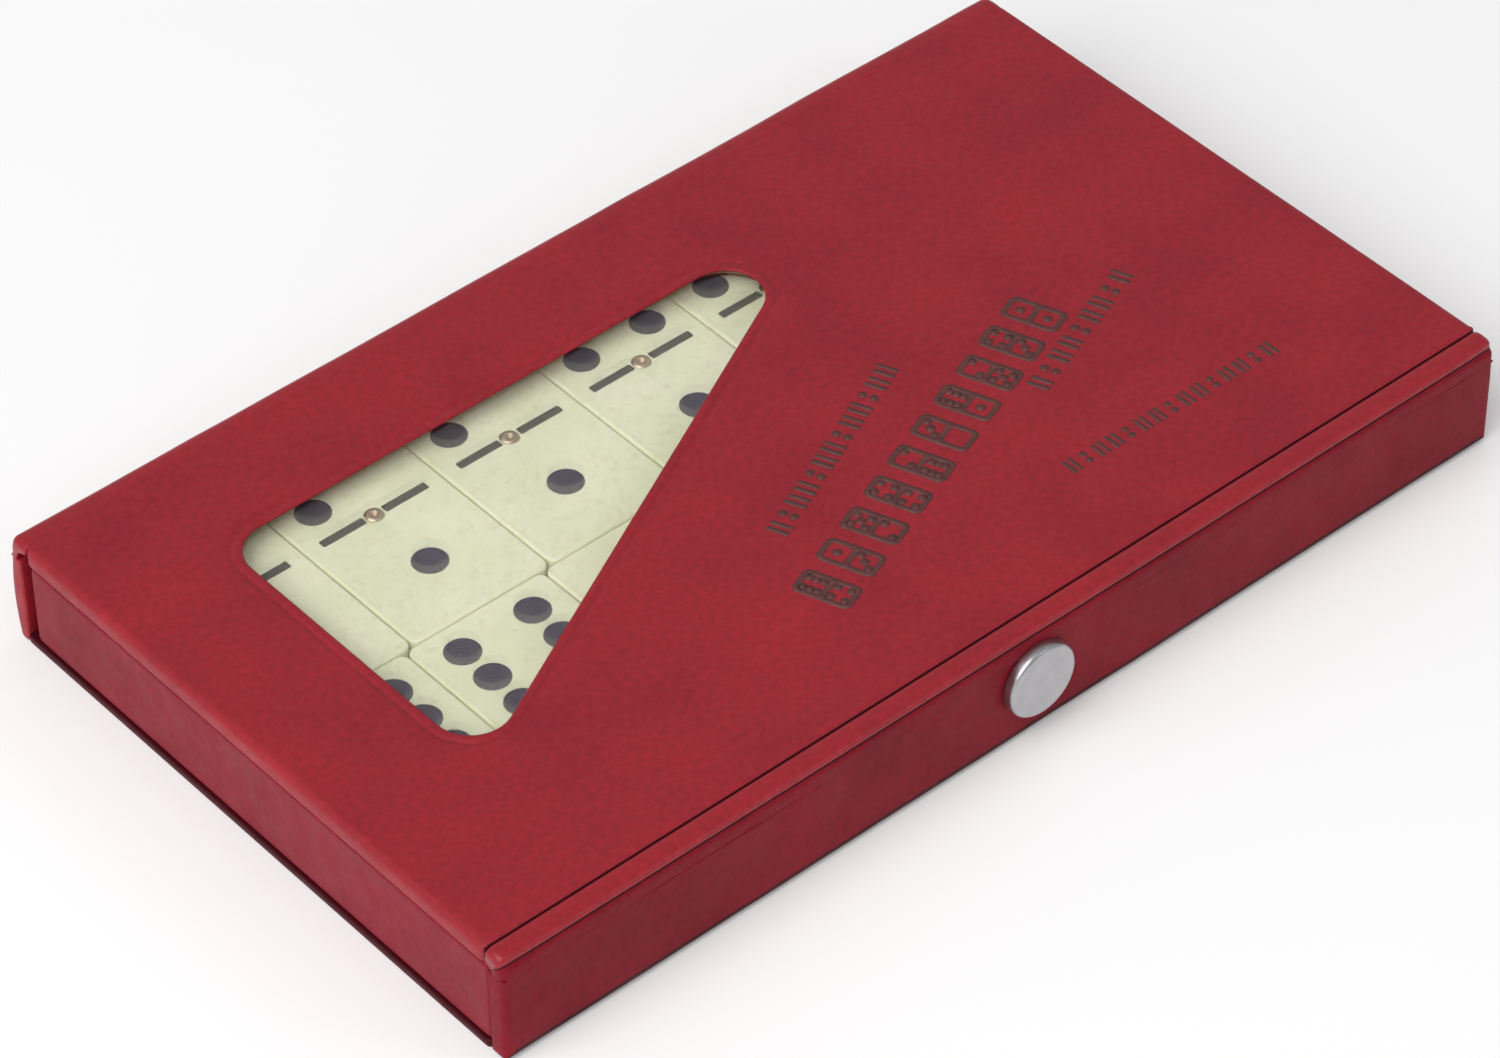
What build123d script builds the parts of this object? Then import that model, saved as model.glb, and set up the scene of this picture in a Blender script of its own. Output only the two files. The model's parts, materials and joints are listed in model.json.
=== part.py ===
from build123d import *
import os
from math import cos, pi, radians, sin

# Vinyl snap case holding a double-six set of dominoes.
# Millimetres, +Z up, +X along the case, +Y towards the spine.
# The origin is the bottom centre of the whole object's box.

# Case, over the outside
CASE_L = 190.0
CASE_W = 112.0
CASE_H = 20.0
SPINE_BULGE = 1.0
CAP_PROUD = 2.0
Y_FRONT = -(CASE_W + SPINE_BULGE - CAP_PROUD) / 2
Y_BACK = Y_FRONT + CASE_W
EDGE_R = 1.0

# Cover panels: an outer vinyl skin, a greyboard and an inner lining
SKIN = 0.5
LINING = 0.4
COVER_T = 3.4
SPINE_T = 2.4
FOLD_R = 4.0
FOLD_GAP = 0.4
Z_LID = CASE_H - COVER_T
Z_FOLD = CASE_H - FOLD_R
FLAP_BOTTOM = 0.6
FLAP_TOP = Z_FOLD - 0.1
BOTTOM_FOLD_R = 1.5

# Tray: boards sleeved in vinyl, standing on the bottom board
BOTTOM_BOARD = 1.0
FLOOR_LINER = 0.3
WALL_BOARD = 2.4
FRONT_BOARD = 1.8
BACK_CARD = 0.8
WALL_INSET = 0.4
FLAP_CLEARANCE = 0.3
Z_WALL = SKIN + BOTTOM_BOARD
Z_FLOOR = Z_WALL + FLOOR_LINER
WALL_TOP = Z_LID - 0.3
Y_TRAY = Y_FRONT + COVER_T + FLAP_CLEARANCE
Y_TRAY_INNER = Y_TRAY + SKIN + FRONT_BOARD + LINING
Y_SPINE_INNER = Y_BACK - SPINE_T
Y_CARD = Y_SPINE_INNER - BACK_CARD
X_WALL = CASE_L / 2 - WALL_INSET
X_WALL_INNER = X_WALL - SKIN - WALL_BOARD - LINING

# Window in the lid: a right triangle with rounded corners
WINDOW_LEFT = -73.0
WINDOW_BACK = 33.9
WINDOW_DEPTH = 58.2
WINDOW_SLOPE = 27.0
WINDOW_R = 6.0
BOARD_MARGIN = 2.6
FILM_MARGIN = 5.0
FILM_T = 0.3

# Snap fastener on the flap and the tray's front wall
SNAP_X = 2.0
SNAP_Z = 11.0
CAP_R = 6.2
CAP_POST_R = 1.2
SOCKET_R = 4.0
SOCKET_BORE_R = 2.75
SOCKET_BACK = 1.4
SOCKET_FLOOR = 0.5
SPRING_R = 2.4
SPRING_WIRE = 0.3
FLANGE_R = 4.2
KNOB_R = 1.75
NECK_R = 1.5
KNOB_REACH = 1.4
RIVET_HEAD_R = 3.4
RIVET_HEAD_T = 0.6
RIVET_POST_R = 0.9
PLAY = 0.1

# Domino tiles, two layers of two rows
TILE_L = 50.0
TILE_W = 25.0
TILE_T = 7.0
TILE_PITCH = 25.3
TILE_CORNER_R = 1.5
TILE_EDGE_R = 0.5
ROW_GAP = 0.2
FRONT_ROW_SHIFT = -1.9
COLUMNS = 7
PIP_R = 2.8
PIP_DEPTH = 0.35
PIP_X = 6.4
PIP_Y = 6.7
HALF_CENTRE = 12.9
BAR_L = 19.4
BAR_W = 1.5
BAR_DEPTH = 0.3
PIN_HEAD_R = 1.5
PIN_HEAD_T = 0.5
PIN_PROUD = 0.25
PIN_SHANK_R = 0.75
PIN_LENGTH = 4.0
PIN_PLAY = 0.05

os.makedirs("parts", exist_ok=True)


def finish(piece, label):
    """Label a finished piece and write it as one STEP file."""
    piece.part.label = label
    export_step(piece.part, f"parts/{label}.step")


def block(x, y, z):
    """A box inside the current part, from its (low, high) limits on each axis."""
    with Locations(((x[0] + x[1]) / 2, (y[0] + y[1]) / 2, (z[0] + z[1]) / 2)):
        Box(x[1] - x[0], y[1] - y[0], z[1] - z[0])


def cut_block(x, y, z):
    """The same box, taken away from the current part."""
    with Locations(((x[0] + x[1]) / 2, (y[0] + y[1]) / 2, (z[0] + z[1]) / 2)):
        Box(x[1] - x[0], y[1] - y[0], z[1] - z[0], mode=Mode.SUBTRACT)


def window_outline(margin=0.0):
    """The window's rounded triangle in the current sketch, grown by a margin."""
    width = WINDOW_DEPTH / sin(radians(WINDOW_SLOPE)) * cos(radians(WINDOW_SLOPE))
    with BuildLine() as outline:
        FilletPolyline(
            (WINDOW_LEFT, WINDOW_BACK),
            (WINDOW_LEFT, WINDOW_BACK - WINDOW_DEPTH),
            (WINDOW_LEFT + width, WINDOW_BACK),
            radius=WINDOW_R,
            close=True,
        )
    make_face(outline.edges())
    if margin:
        offset(amount=margin)


def fold_strip(y_centre, z_centre, start, end, length=CASE_L):
    """A quarter-round of skin about a line along X, between two angles in the YZ plane."""
    inner_r = FOLD_R - SKIN
    with BuildSketch(Plane.YZ.offset(-length / 2)) as quarter:
        with BuildLine():
            outer = CenterArc((y_centre, z_centre), FOLD_R, start, end - start)
            inner = CenterArc((y_centre, z_centre), inner_r, start, end - start)
            Line(outer @ 0, inner @ 0)
            Line(outer @ 1, inner @ 1)
        make_face()
    extrude(quarter.sketch, amount=length)


# ---------------------------------------------------------------- lid
lid_y = (Y_FRONT + FOLD_R, Y_BACK - FOLD_R)
lid_x = (-CASE_L / 2, CASE_L / 2)
lid_lining_top = Z_LID + LINING
lid_skin_under = CASE_H - SKIN
gap_angle = FOLD_GAP / FOLD_R * 180 / pi

with BuildPart() as lid_skin:
    block(lid_x, lid_y, (lid_lining_top, CASE_H))
    inside_x = (lid_x[0] + SKIN, lid_x[1] - SKIN)
    cut_block(inside_x, lid_y, (lid_lining_top, lid_skin_under))
    side_edges = lid_skin.edges().filter_by(Axis.Y).group_by(Axis.Z)[-1]
    fillet(side_edges.sort_by(Axis.X)[0], radius=EDGE_R)
    side_edges = lid_skin.edges().filter_by(Axis.Y).group_by(Axis.Z)[-1]
    fillet(side_edges.sort_by(Axis.X)[-1], radius=EDGE_R)
    fold_strip(lid_y[0], Z_FOLD, 90, 180 - gap_angle)
    with BuildSketch(Plane.XY.offset(CASE_H)):
        window_outline()
    extrude(amount=-SKIN, mode=Mode.SUBTRACT)
finish(lid_skin, "lid_skin")

board_y = (lid_y[0] + SKIN, lid_y[1] - SKIN)
with BuildPart() as lid_board:
    block(inside_x, board_y, (lid_lining_top, lid_skin_under))
    with BuildSketch(Plane.XY.offset(lid_skin_under)):
        window_outline(FILM_MARGIN)
    extrude(amount=-FILM_T, mode=Mode.SUBTRACT)
    with BuildSketch(Plane.XY.offset(lid_skin_under)):
        window_outline(BOARD_MARGIN)
    extrude(amount=-COVER_T, mode=Mode.SUBTRACT)
finish(lid_board, "lid_board")

with BuildPart() as lid_lining:
    block(lid_x, lid_y, (Z_LID, lid_lining_top))
    with BuildSketch(Plane.XY.offset(lid_lining_top)):
        window_outline(BOARD_MARGIN)
    extrude(amount=-LINING, mode=Mode.SUBTRACT)
finish(lid_lining, "lid_lining")

with BuildPart() as window_film:
    with BuildSketch(Plane.XY.offset(lid_skin_under)):
        window_outline(FILM_MARGIN)
    extrude(amount=-FILM_T)
finish(window_film, "window_film")

# ---------------------------------------------------------------- front flap
flap_z = (FLAP_BOTTOM, FLAP_TOP)
flap_lining_y = (Y_FRONT + COVER_T - LINING, Y_FRONT + COVER_T)
flap_board_y = (Y_FRONT + SKIN, flap_lining_y[0])


def snap_bore(radius, depth_from, depth_to):
    """Bore along Y on the snap's axis, between two depths behind the flap's face."""
    with BuildSketch(Plane.XZ.offset(-(Y_FRONT + depth_from))) as round_hole:
        with Locations((SNAP_X, SNAP_Z)):
            Circle(radius)
    extrude(round_hole.sketch, amount=-(depth_to - depth_from), mode=Mode.SUBTRACT)


with BuildPart() as flap_skin:
    block(lid_x, (Y_FRONT, flap_lining_y[0]), flap_z)
    cut_block(inside_x, flap_board_y, (FLAP_BOTTOM + SKIN, FLAP_TOP))
    face_edges = flap_skin.edges().group_by(Axis.Y)[0]
    fillet(face_edges.filter_by(Axis.Z), radius=EDGE_R)
    bottom_edge = flap_skin.edges().filter_by(Axis.X).group_by(Axis.Z)[0].sort_by(Axis.Y)[0]
    fillet(bottom_edge, radius=EDGE_R / 2)
    snap_bore(CAP_POST_R + PLAY, 0, SKIN)
finish(flap_skin, "flap_skin")

with BuildPart() as flap_board:
    block(inside_x, flap_board_y, (FLAP_BOTTOM + SKIN, FLAP_TOP))
    snap_bore(CAP_POST_R + PLAY, 0, COVER_T)
    snap_bore(SOCKET_R + PLAY, SOCKET_BACK, COVER_T)
finish(flap_board, "flap_board")

with BuildPart() as flap_lining:
    block(lid_x, flap_lining_y, flap_z)
    snap_bore(SOCKET_R + PLAY, SOCKET_BACK, COVER_T)
finish(flap_lining, "flap_lining")


def turned(*profile):
    """Turn a closed (radius, depth behind the flap's face) profile about the snap's axis."""
    turning_plane = Plane(origin=(SNAP_X, Y_FRONT, SNAP_Z), x_dir=(1, 0, 0), z_dir=(0, 0, 1))
    with BuildSketch(turning_plane) as half_section:
        with BuildLine():
            Polyline(*profile, close=True)
        make_face()
    revolve(half_section.sketch, axis=Axis((SNAP_X, Y_FRONT, SNAP_Z), (0, 1, 0)))


with BuildPart() as snap_cap:
    turned(
        (0, -CAP_PROUD),
        (CAP_R, -CAP_PROUD),
        (CAP_R, 0),
        (CAP_POST_R, 0),
        (CAP_POST_R, SOCKET_BACK + SOCKET_FLOOR),
        (0, SOCKET_BACK + SOCKET_FLOOR),
    )
    rim = snap_cap.edges().filter_by(GeomType.CIRCLE).group_by(Axis.Y)[0]
    fillet(rim, radius=CAP_PROUD * 0.6)
finish(snap_cap, "snap_cap")

with BuildPart() as snap_socket:
    turned(
        (CAP_POST_R + PIN_PLAY, SOCKET_BACK),
        (SOCKET_R, SOCKET_BACK),
        (SOCKET_R, COVER_T),
        (SOCKET_BORE_R, COVER_T),
        (SOCKET_BORE_R, SOCKET_BACK + SOCKET_FLOOR),
        (CAP_POST_R + PIN_PLAY, SOCKET_BACK + SOCKET_FLOOR),
    )
finish(snap_socket, "snap_socket")

with BuildPart(Plane(origin=(SNAP_X, Y_FRONT + COVER_T - 0.5, SNAP_Z), z_dir=(0, 1, 0))) as socket_spring:
    Torus(SPRING_R, SPRING_WIRE)
finish(socket_spring, "socket_spring")

# ---------------------------------------------------------------- spine
with BuildPart() as spine_skin:
    fold_strip(Y_BACK - FOLD_R, Z_FOLD, 0, 90 - gap_angle)
    mid_z = (Z_FOLD + BOTTOM_FOLD_R) / 2
    with BuildSketch(Plane.YZ.offset(-CASE_L / 2)):
        with BuildLine():
            outer_arc = ThreePointArc(
                (Y_BACK, Z_FOLD),
                (Y_BACK + SPINE_BULGE, mid_z),
                (Y_BACK, BOTTOM_FOLD_R),
            )
            outer_fold = RadiusArc(outer_arc @ 1, (Y_BACK - BOTTOM_FOLD_R, 0), BOTTOM_FOLD_R)
            Line(outer_fold @ 1, (Y_BACK - BOTTOM_FOLD_R, SKIN))
            inner_fold = RadiusArc(
                (Y_BACK - BOTTOM_FOLD_R, SKIN),
                (Y_BACK - SKIN, BOTTOM_FOLD_R),
                SKIN - BOTTOM_FOLD_R,
            )
            inner_arc = ThreePointArc(
                inner_fold @ 1,
                (Y_BACK + SPINE_BULGE - SKIN, mid_z),
                (Y_BACK - SKIN, Z_FOLD),
            )
            Line(inner_arc @ 1, outer_arc @ 0)
        make_face()
    extrude(amount=CASE_L)
finish(spine_skin, "spine_skin")

spine_z = (Z_WALL, Z_FOLD - 0.3)
spine_x = (-X_WALL, X_WALL)
with BuildPart() as spine_board:
    block(spine_x, (Y_SPINE_INNER + LINING, Y_BACK - SKIN), spine_z)
finish(spine_board, "spine_board")

with BuildPart() as spine_lining:
    block(spine_x, (Y_SPINE_INNER, Y_SPINE_INNER + LINING), spine_z)
finish(spine_lining, "spine_lining")

# ---------------------------------------------------------------- tray
with BuildPart() as bottom_skin:
    block(lid_x, (Y_TRAY, Y_BACK - BOTTOM_FOLD_R), (0, SKIN))
finish(bottom_skin, "bottom_skin")

with BuildPart() as bottom_board:
    block(spine_x, (Y_TRAY, Y_BACK - BOTTOM_FOLD_R), (SKIN, Z_WALL))
finish(bottom_board, "bottom_board")

with BuildPart() as floor_liner:
    block((-X_WALL_INNER, X_WALL_INNER), (Y_TRAY_INNER, Y_CARD), (Z_WALL, Z_FLOOR))
finish(floor_liner, "floor_liner")

with BuildPart() as back_card:
    block((-X_WALL_INNER, X_WALL_INNER), (Y_CARD, Y_SPINE_INNER), (Z_WALL, WALL_TOP))
finish(back_card, "back_card")

for side, name in ((-1, "left"), (1, "right")):
    board_x = sorted((side * (X_WALL - SKIN), side * (X_WALL_INNER + LINING)))
    sleeve_x = sorted((side * X_WALL, side * X_WALL_INNER))
    wall_y = (Y_TRAY, Y_SPINE_INNER)
    with BuildPart() as wall_board:
        block(board_x, wall_y, (Z_WALL, WALL_TOP - LINING))
    finish(wall_board, f"{name}_wall_board")
    with BuildPart() as wall_sleeve:
        block(sleeve_x, wall_y, (Z_WALL, WALL_TOP))
        cut_block(board_x, wall_y, (Z_WALL, WALL_TOP - LINING))
    finish(wall_sleeve, f"{name}_wall_sleeve")

front_x = (-X_WALL_INNER, X_WALL_INNER)
front_board_y = (Y_TRAY + SKIN, Y_TRAY_INNER - LINING)
tray_depth = Y_TRAY - Y_FRONT
tray_inner_depth = Y_TRAY_INNER - Y_FRONT
with BuildPart() as front_wall_board:
    block(front_x, front_board_y, (Z_WALL, WALL_TOP - LINING))
    snap_bore(RIVET_POST_R + PLAY, tray_depth, tray_inner_depth)
finish(front_wall_board, "front_wall_board")

with BuildPart() as front_wall_sleeve:
    block(front_x, (Y_TRAY, Y_TRAY_INNER), (Z_WALL, WALL_TOP))
    cut_block(front_x, front_board_y, (Z_WALL, WALL_TOP - LINING))
    snap_bore(RIVET_POST_R + PLAY, tray_depth, tray_inner_depth)
    snap_bore(FLANGE_R + PLAY, tray_depth, tray_depth + SKIN)
finish(front_wall_sleeve, "front_wall_sleeve")

with BuildPart() as snap_stud:
    bore_r = RIVET_POST_R + PIN_PLAY
    knob_tip = tray_depth - KNOB_REACH
    turned(
        (0, knob_tip),
        (KNOB_R - 0.3, knob_tip),
        (KNOB_R, knob_tip + 0.3),
        (KNOB_R, knob_tip + 0.8),
        (NECK_R, knob_tip + 1.0),
        (NECK_R, tray_depth),
        (FLANGE_R, tray_depth),
        (FLANGE_R, tray_depth + SKIN),
        (bore_r, tray_depth + SKIN),
        (bore_r, knob_tip + 0.8),
        (0, knob_tip + 0.8),
    )
finish(snap_stud, "snap_stud")

with BuildPart() as stud_rivet:
    turned(
        (0, knob_tip + 0.9),
        (RIVET_POST_R, knob_tip + 0.9),
        (RIVET_POST_R, tray_inner_depth),
        (RIVET_HEAD_R, tray_inner_depth),
        (RIVET_HEAD_R, tray_inner_depth + RIVET_HEAD_T),
        (0, tray_inner_depth + RIVET_HEAD_T),
    )
    head_rim = stud_rivet.edges().filter_by(GeomType.CIRCLE).group_by(Axis.Y)[-1]
    fillet(head_rim, radius=RIVET_HEAD_T / 2)
finish(stud_rivet, "stud_rivet")

# ---------------------------------------------------------------- dominoes
CORNERS_UP = [(-1, -1), (1, 1)]
CORNERS_DOWN = [(-1, 1), (1, -1)]
SIDES = [(-1, 0), (1, 0)]
CENTRE = [(0, 0)]
PIPS = {
    0: [],
    1: CENTRE,
    2: CORNERS_UP,
    3: CORNERS_UP + CENTRE,
    4: CORNERS_UP + CORNERS_DOWN,
    5: CORNERS_UP + CORNERS_DOWN + CENTRE,
    6: CORNERS_UP + CORNERS_DOWN + SIDES,
}

# (back half, front half) of each tile, from left to right
TOP_BACK = [(1, 1), (2, 1), (3, 1), (4, 1), (5, 1), (6, 1), (0, 1)]
TOP_FRONT = [(6, 6), (6, 5), (3, 3), (3, 2), (2, 2), (2, 0), (0, 0)]
shown = {tuple(sorted(tile)) for tile in TOP_BACK + TOP_FRONT}
whole_set = [(high, low) for high in range(6, -1, -1) for low in range(high, -1, -1)]
hidden = [tile for tile in whole_set if tuple(sorted(tile)) not in shown]

layer_height = TILE_T + PIN_PROUD
back_row_y = Y_CARD - TILE_L / 2
front_row_y = back_row_y - TILE_L - ROW_GAP
rows = [
    (TOP_BACK, back_row_y, 0.0, Z_FLOOR + layer_height),
    (TOP_FRONT, front_row_y, FRONT_ROW_SHIFT, Z_FLOOR + layer_height),
    (hidden[:COLUMNS], back_row_y, 0.0, Z_FLOOR),
    (hidden[COLUMNS:], front_row_y, FRONT_ROW_SHIFT, Z_FLOOR),
]


def pip_places(x, y, tile):
    """Pip centres of a tile centred on (x, y)."""
    places = []
    for side, value in zip((1, -1), tile):
        for column, row in PIPS[value]:
            places.append((x + column * PIP_X, y + side * HALF_CENTRE + row * PIP_Y))
    return places


pin_places = []
for tiles, row_y, shift, z_base in rows:
    for column, tile in enumerate(tiles):
        x = (column - (COLUMNS - 1) / 2) * TILE_PITCH + shift
        z_face = z_base + TILE_T
        pin_places.append((x, row_y, z_face))
        with BuildPart() as domino:
            with BuildSketch(Plane.XY.offset(z_base)):
                with Locations((x, row_y)):
                    RectangleRounded(TILE_W, TILE_L, TILE_CORNER_R)
            extrude(amount=TILE_T)
            face_edges = domino.faces().sort_by(Axis.Z)[-1].edges()
            back_edges = domino.faces().sort_by(Axis.Z)[0].edges()
            fillet(face_edges + back_edges, radius=TILE_EDGE_R)
            if tile != (0, 0):
                with BuildSketch(Plane.XY.offset(z_face)):
                    with Locations(*pip_places(x, row_y, tile)):
                        Circle(PIP_R)
                extrude(amount=-PIP_DEPTH, mode=Mode.SUBTRACT)
            with BuildSketch(Plane.XY.offset(z_face)):
                with Locations((x, row_y)):
                    SlotOverall(BAR_L, BAR_W)
            extrude(amount=-BAR_DEPTH, mode=Mode.SUBTRACT)
            with Locations((x, row_y, z_face)):
                CounterBoreHole(
                    PIN_SHANK_R + PIN_PLAY,
                    PIN_HEAD_R + PIN_PLAY,
                    PIN_HEAD_T,
                    PIN_LENGTH,
                )
        finish(domino, f"tile_{max(tile)}_{min(tile)}")

with BuildPart() as spinner_pins:
    with BuildSketch(Plane.XZ):
        with BuildLine():
            dome = ThreePointArc(
                (0, PIN_PROUD),
                (PIN_HEAD_R * 0.6, PIN_PROUD * 0.7),
                (PIN_HEAD_R, 0),
            )
            Polyline(
                dome @ 1,
                (PIN_HEAD_R, -PIN_HEAD_T),
                (PIN_SHANK_R, -PIN_HEAD_T),
                (PIN_SHANK_R, -PIN_LENGTH),
                (0, -PIN_LENGTH),
                dome @ 0,
            )
        make_face()
    pin = revolve(axis=Axis.Z, mode=Mode.PRIVATE)
    with Locations(*pin_places):
        add(pin)
finish(spinner_pins, "spinner_pins")
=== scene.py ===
import json
import math

import bmesh
import bpy
from mathutils import Matrix, Vector, noise
from mathutils.geometry import delaunay_2d_cdt


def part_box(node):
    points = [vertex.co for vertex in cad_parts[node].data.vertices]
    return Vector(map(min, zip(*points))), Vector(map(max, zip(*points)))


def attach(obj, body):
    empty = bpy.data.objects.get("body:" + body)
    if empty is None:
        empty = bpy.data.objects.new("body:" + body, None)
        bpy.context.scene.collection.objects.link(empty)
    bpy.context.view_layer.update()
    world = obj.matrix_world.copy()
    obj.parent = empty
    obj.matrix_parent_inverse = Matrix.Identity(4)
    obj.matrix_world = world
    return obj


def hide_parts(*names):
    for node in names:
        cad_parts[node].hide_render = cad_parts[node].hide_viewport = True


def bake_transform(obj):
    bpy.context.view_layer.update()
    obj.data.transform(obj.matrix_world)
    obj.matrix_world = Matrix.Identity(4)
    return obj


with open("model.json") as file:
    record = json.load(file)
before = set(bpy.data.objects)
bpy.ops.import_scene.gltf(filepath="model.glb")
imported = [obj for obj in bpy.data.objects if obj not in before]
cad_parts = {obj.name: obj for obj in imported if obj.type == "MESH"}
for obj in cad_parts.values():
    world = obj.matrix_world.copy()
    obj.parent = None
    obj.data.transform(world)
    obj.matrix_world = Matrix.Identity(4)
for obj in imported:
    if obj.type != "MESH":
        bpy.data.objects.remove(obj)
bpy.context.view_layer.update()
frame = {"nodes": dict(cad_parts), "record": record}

# A red vinyl snap case holding a double-six set of dominoes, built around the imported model.
# Metres throughout; MM turns the millimetres below into them.
MM = 0.001

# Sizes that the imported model's boxes don't give: sheets, edges and borders
VINYL = 0.45 * MM
SIDE_R = 1.3 * MM
END_R = 1.1 * MM
SEAM_R = 0.08 * MM
PANEL_CORNER_R = 0.25 * MM
TURN_IN = 5.0 * MM
LINING_INSET = 2.4 * MM
WALL_END_GAP = 1.8 * MM
# Height of the painted shade along the flap's bottom rim
FLAP_RIM = 1.1 * MM
GRID = 2.5 * MM

# The folds: a tight ridge between two pressed creases, and closer sections towards the ends, in mm
FOLD_R = 4.0 * MM
RIDGE_POWER = 4.2
RIDGE_STEPS = 40
RIDGE_SKIP = 4
CREASE_R = 1.1 * MM
CREASE_DEPTH = 0.6 * MM
# Width of the painted shade in the front creases
CREASE_DARK = 0.3 * MM
FACE_CREASE_ANGLE = math.radians(36)
FACE_CREASE_WIDTH = math.radians(4.5)
FOLD_ENDS = [0.0, 0.06, 0.2, 0.4, 0.7, 1.1, 1.6, 2.4, 3.4, 4.6, 6.0, 8.0]

WINDOW_DEPTH = 58.2 * MM
WINDOW_SLOPE = math.radians(27)
WINDOW_R = 6.0 * MM
FILM_MARGIN = 5.0 * MM
BOARD_MARGIN = 2.6 * MM
# The lid's face beside its window, with the groove of the weld: (distance out, height), in mm
WINDOW_EDGE = [
    (6.0, 0.0), (2.5, 0.0), (2.2, -0.04), (1.95, -0.18), (1.7, -0.24), (1.45, -0.18), (1.2, -0.04),
    (0.95, 0.0), (0.5, 0.0), (0.25, -0.03), (0.08, -0.1), (0.0, -0.25), (0.0, -0.46),
]

PIP_R = 2.8 * MM
PIP_DEPTH = 0.32 * MM
PIP_X = 6.4 * MM
PIP_Y = 6.7 * MM
HALF_CENTRE = 12.9 * MM
BAR_HALF = 9.7 * MM
BAR_W = 1.5 * MM
BORE_R = 1.6 * MM
TILE_CORNER_R = 1.5 * MM
TILE_EDGE_R = 0.42 * MM
PRINT_LIFT = 0.03 * MM

# Slots of materials within one piece
# Slot 1 of the vinyl pieces takes their painted shade
SHADE_SLOT = 1
# Slot 2 of the folds takes the flap's shaded copy of the vinyl
FLAP_SHADE_SLOT = 2
PIP_SLOT = 1
BAR_SLOT = 2

# Light and camera, in metres and watts
FLOOR_GLOW = 0.08
WORLD_STRENGTH = 0.45
LIGHTS = {
    "key": ((-0.95, -0.22, 1.12), 1.5, 17.5),
    "ridge_light": ((0.55, -0.95, 0.75), 0.2, 0.7),
}
CAMERA_PLACE = (-0.42197, -0.48861, 0.60340)
CAMERA_FORWARD = (0.47600, 0.55554, -0.68177)
CAMERA_UP = (0.45139, 0.51099, 0.73153)
CAMERA_LENS = 143.47


# ---------------------------------------------------------------- materials
def srgb(red, green, blue):
    """A linear colour with alpha, from screen values of 0 to 255."""
    linear = []
    for value in (red, green, blue):
        share = value / 255
        linear.append(share / 12.92 if share <= 0.04045 else ((share + 0.055) / 1.055) ** 2.4)
    return (*linear, 1.0)


class Nodes:
    """One material's node tree, with a short call for each kind of node used here."""

    def __init__(self, name):
        self.material = bpy.data.materials.new(name)
        self.material.use_nodes = True
        self.tree = self.material.node_tree
        self.shader = self.tree.nodes["Principled BSDF"]
        self.coords = self.tree.nodes.new("ShaderNodeTexCoord").outputs["Object"]

    def new(self, kind, **settings):
        node = self.tree.nodes.new(kind)
        for name, value in settings.items():
            setattr(node, name, value)
        return node

    def link(self, source, target):
        self.tree.links.new(source, target)

    def stretched(self, x, y, z):
        """Object coordinates multiplied by a factor on each axis."""
        mapping = self.new("ShaderNodeMapping")
        mapping.inputs["Scale"].default_value = (x, y, z)
        self.link(self.coords, mapping.inputs["Vector"])
        return mapping.outputs["Vector"]

    def noise(self, scale, detail=2.0, coords=None):
        node = self.new("ShaderNodeTexNoise")
        node.inputs["Scale"].default_value = scale
        node.inputs["Detail"].default_value = detail
        self.link(coords or self.coords, node.inputs["Vector"])
        return node.outputs["Fac"]

    def cells(self, scale):
        node = self.new("ShaderNodeTexVoronoi", feature="SMOOTH_F1")
        node.inputs["Scale"].default_value = scale
        self.link(self.coords, node.inputs["Vector"])
        return node.outputs["Distance"]

    def spread(self, value, low, high, to_low, to_high):
        """A value's range stretched to another range."""
        node = self.new("ShaderNodeMapRange")
        for name, number in zip(("From Min", "From Max", "To Min", "To Max"), (low, high, to_low, to_high)):
            node.inputs[name].default_value = number
        self.link(value, node.inputs["Value"])
        return node.outputs["Result"]

    def ramp(self, value, *stops):
        """Colours along a value: each stop is (place, colour)."""
        node = self.new("ShaderNodeValToRGB")
        elements = node.color_ramp.elements
        while len(elements) < len(stops):
            elements.new(0.5)
        for element, (place, colour) in zip(elements, stops):
            element.position = place
            element.color = colour
        self.link(value, node.inputs["Fac"])
        return node.outputs["Color"]

    def blend(self, factor, first, second, how="MIX"):
        node = self.new("ShaderNodeMix", data_type="RGBA", blend_type=how)
        for socket, value in ((node.inputs[0], factor), (node.inputs[6], first), (node.inputs[7], second)):
            if isinstance(value, (float, tuple)):
                socket.default_value = value
            else:
                self.link(value, socket)
        return node.outputs[2]

    def bump(self, height, distance, under=None):
        node = self.new("ShaderNodeBump")
        node.inputs["Distance"].default_value = distance
        self.link(height, node.inputs["Height"])
        if under:
            self.link(under, node.inputs["Normal"])
        return node.outputs["Normal"]

    def finish(self, colour, roughness, normal=None, **values):
        self.link(colour, self.shader.inputs["Base Color"])
        self.link(roughness, self.shader.inputs["Roughness"])
        if normal:
            self.link(normal, self.shader.inputs["Normal"])
        for name, value in values.items():
            self.shader.inputs[name.replace("_", " ")].default_value = value
        return self.material


def vinyl(name, light, dark, grain=0.02 * MM, rough=(0.40, 0.56), gloss=0.3):
    """Soft calendered vinyl: fine pebble grain, cloudy colour, a low uneven gloss."""
    n = Nodes(name)
    clouds = n.ramp(n.noise(55, 4.0), (0.3, dark), (0.7, light))
    specks = n.ramp(n.noise(900, 3.0), (0.35, (0.82, 0.82, 0.82, 1)), (0.65, (1.0, 1.0, 1.0, 1)))
    colour = n.blend(1.0, clouds, specks, "MULTIPLY")
    pebbles = n.bump(n.cells(1500), grain)
    normal = n.bump(n.noise(130, 3.0), 0.12 * MM, pebbles)
    roughness = n.spread(n.noise(240, 5.0), 0.3, 0.7, *rough)
    return n.finish(
        colour, roughness, normal,
        Specular_IOR_Level=gloss, Coat_Weight=0.03, Coat_Roughness=0.3,
    )


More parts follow.
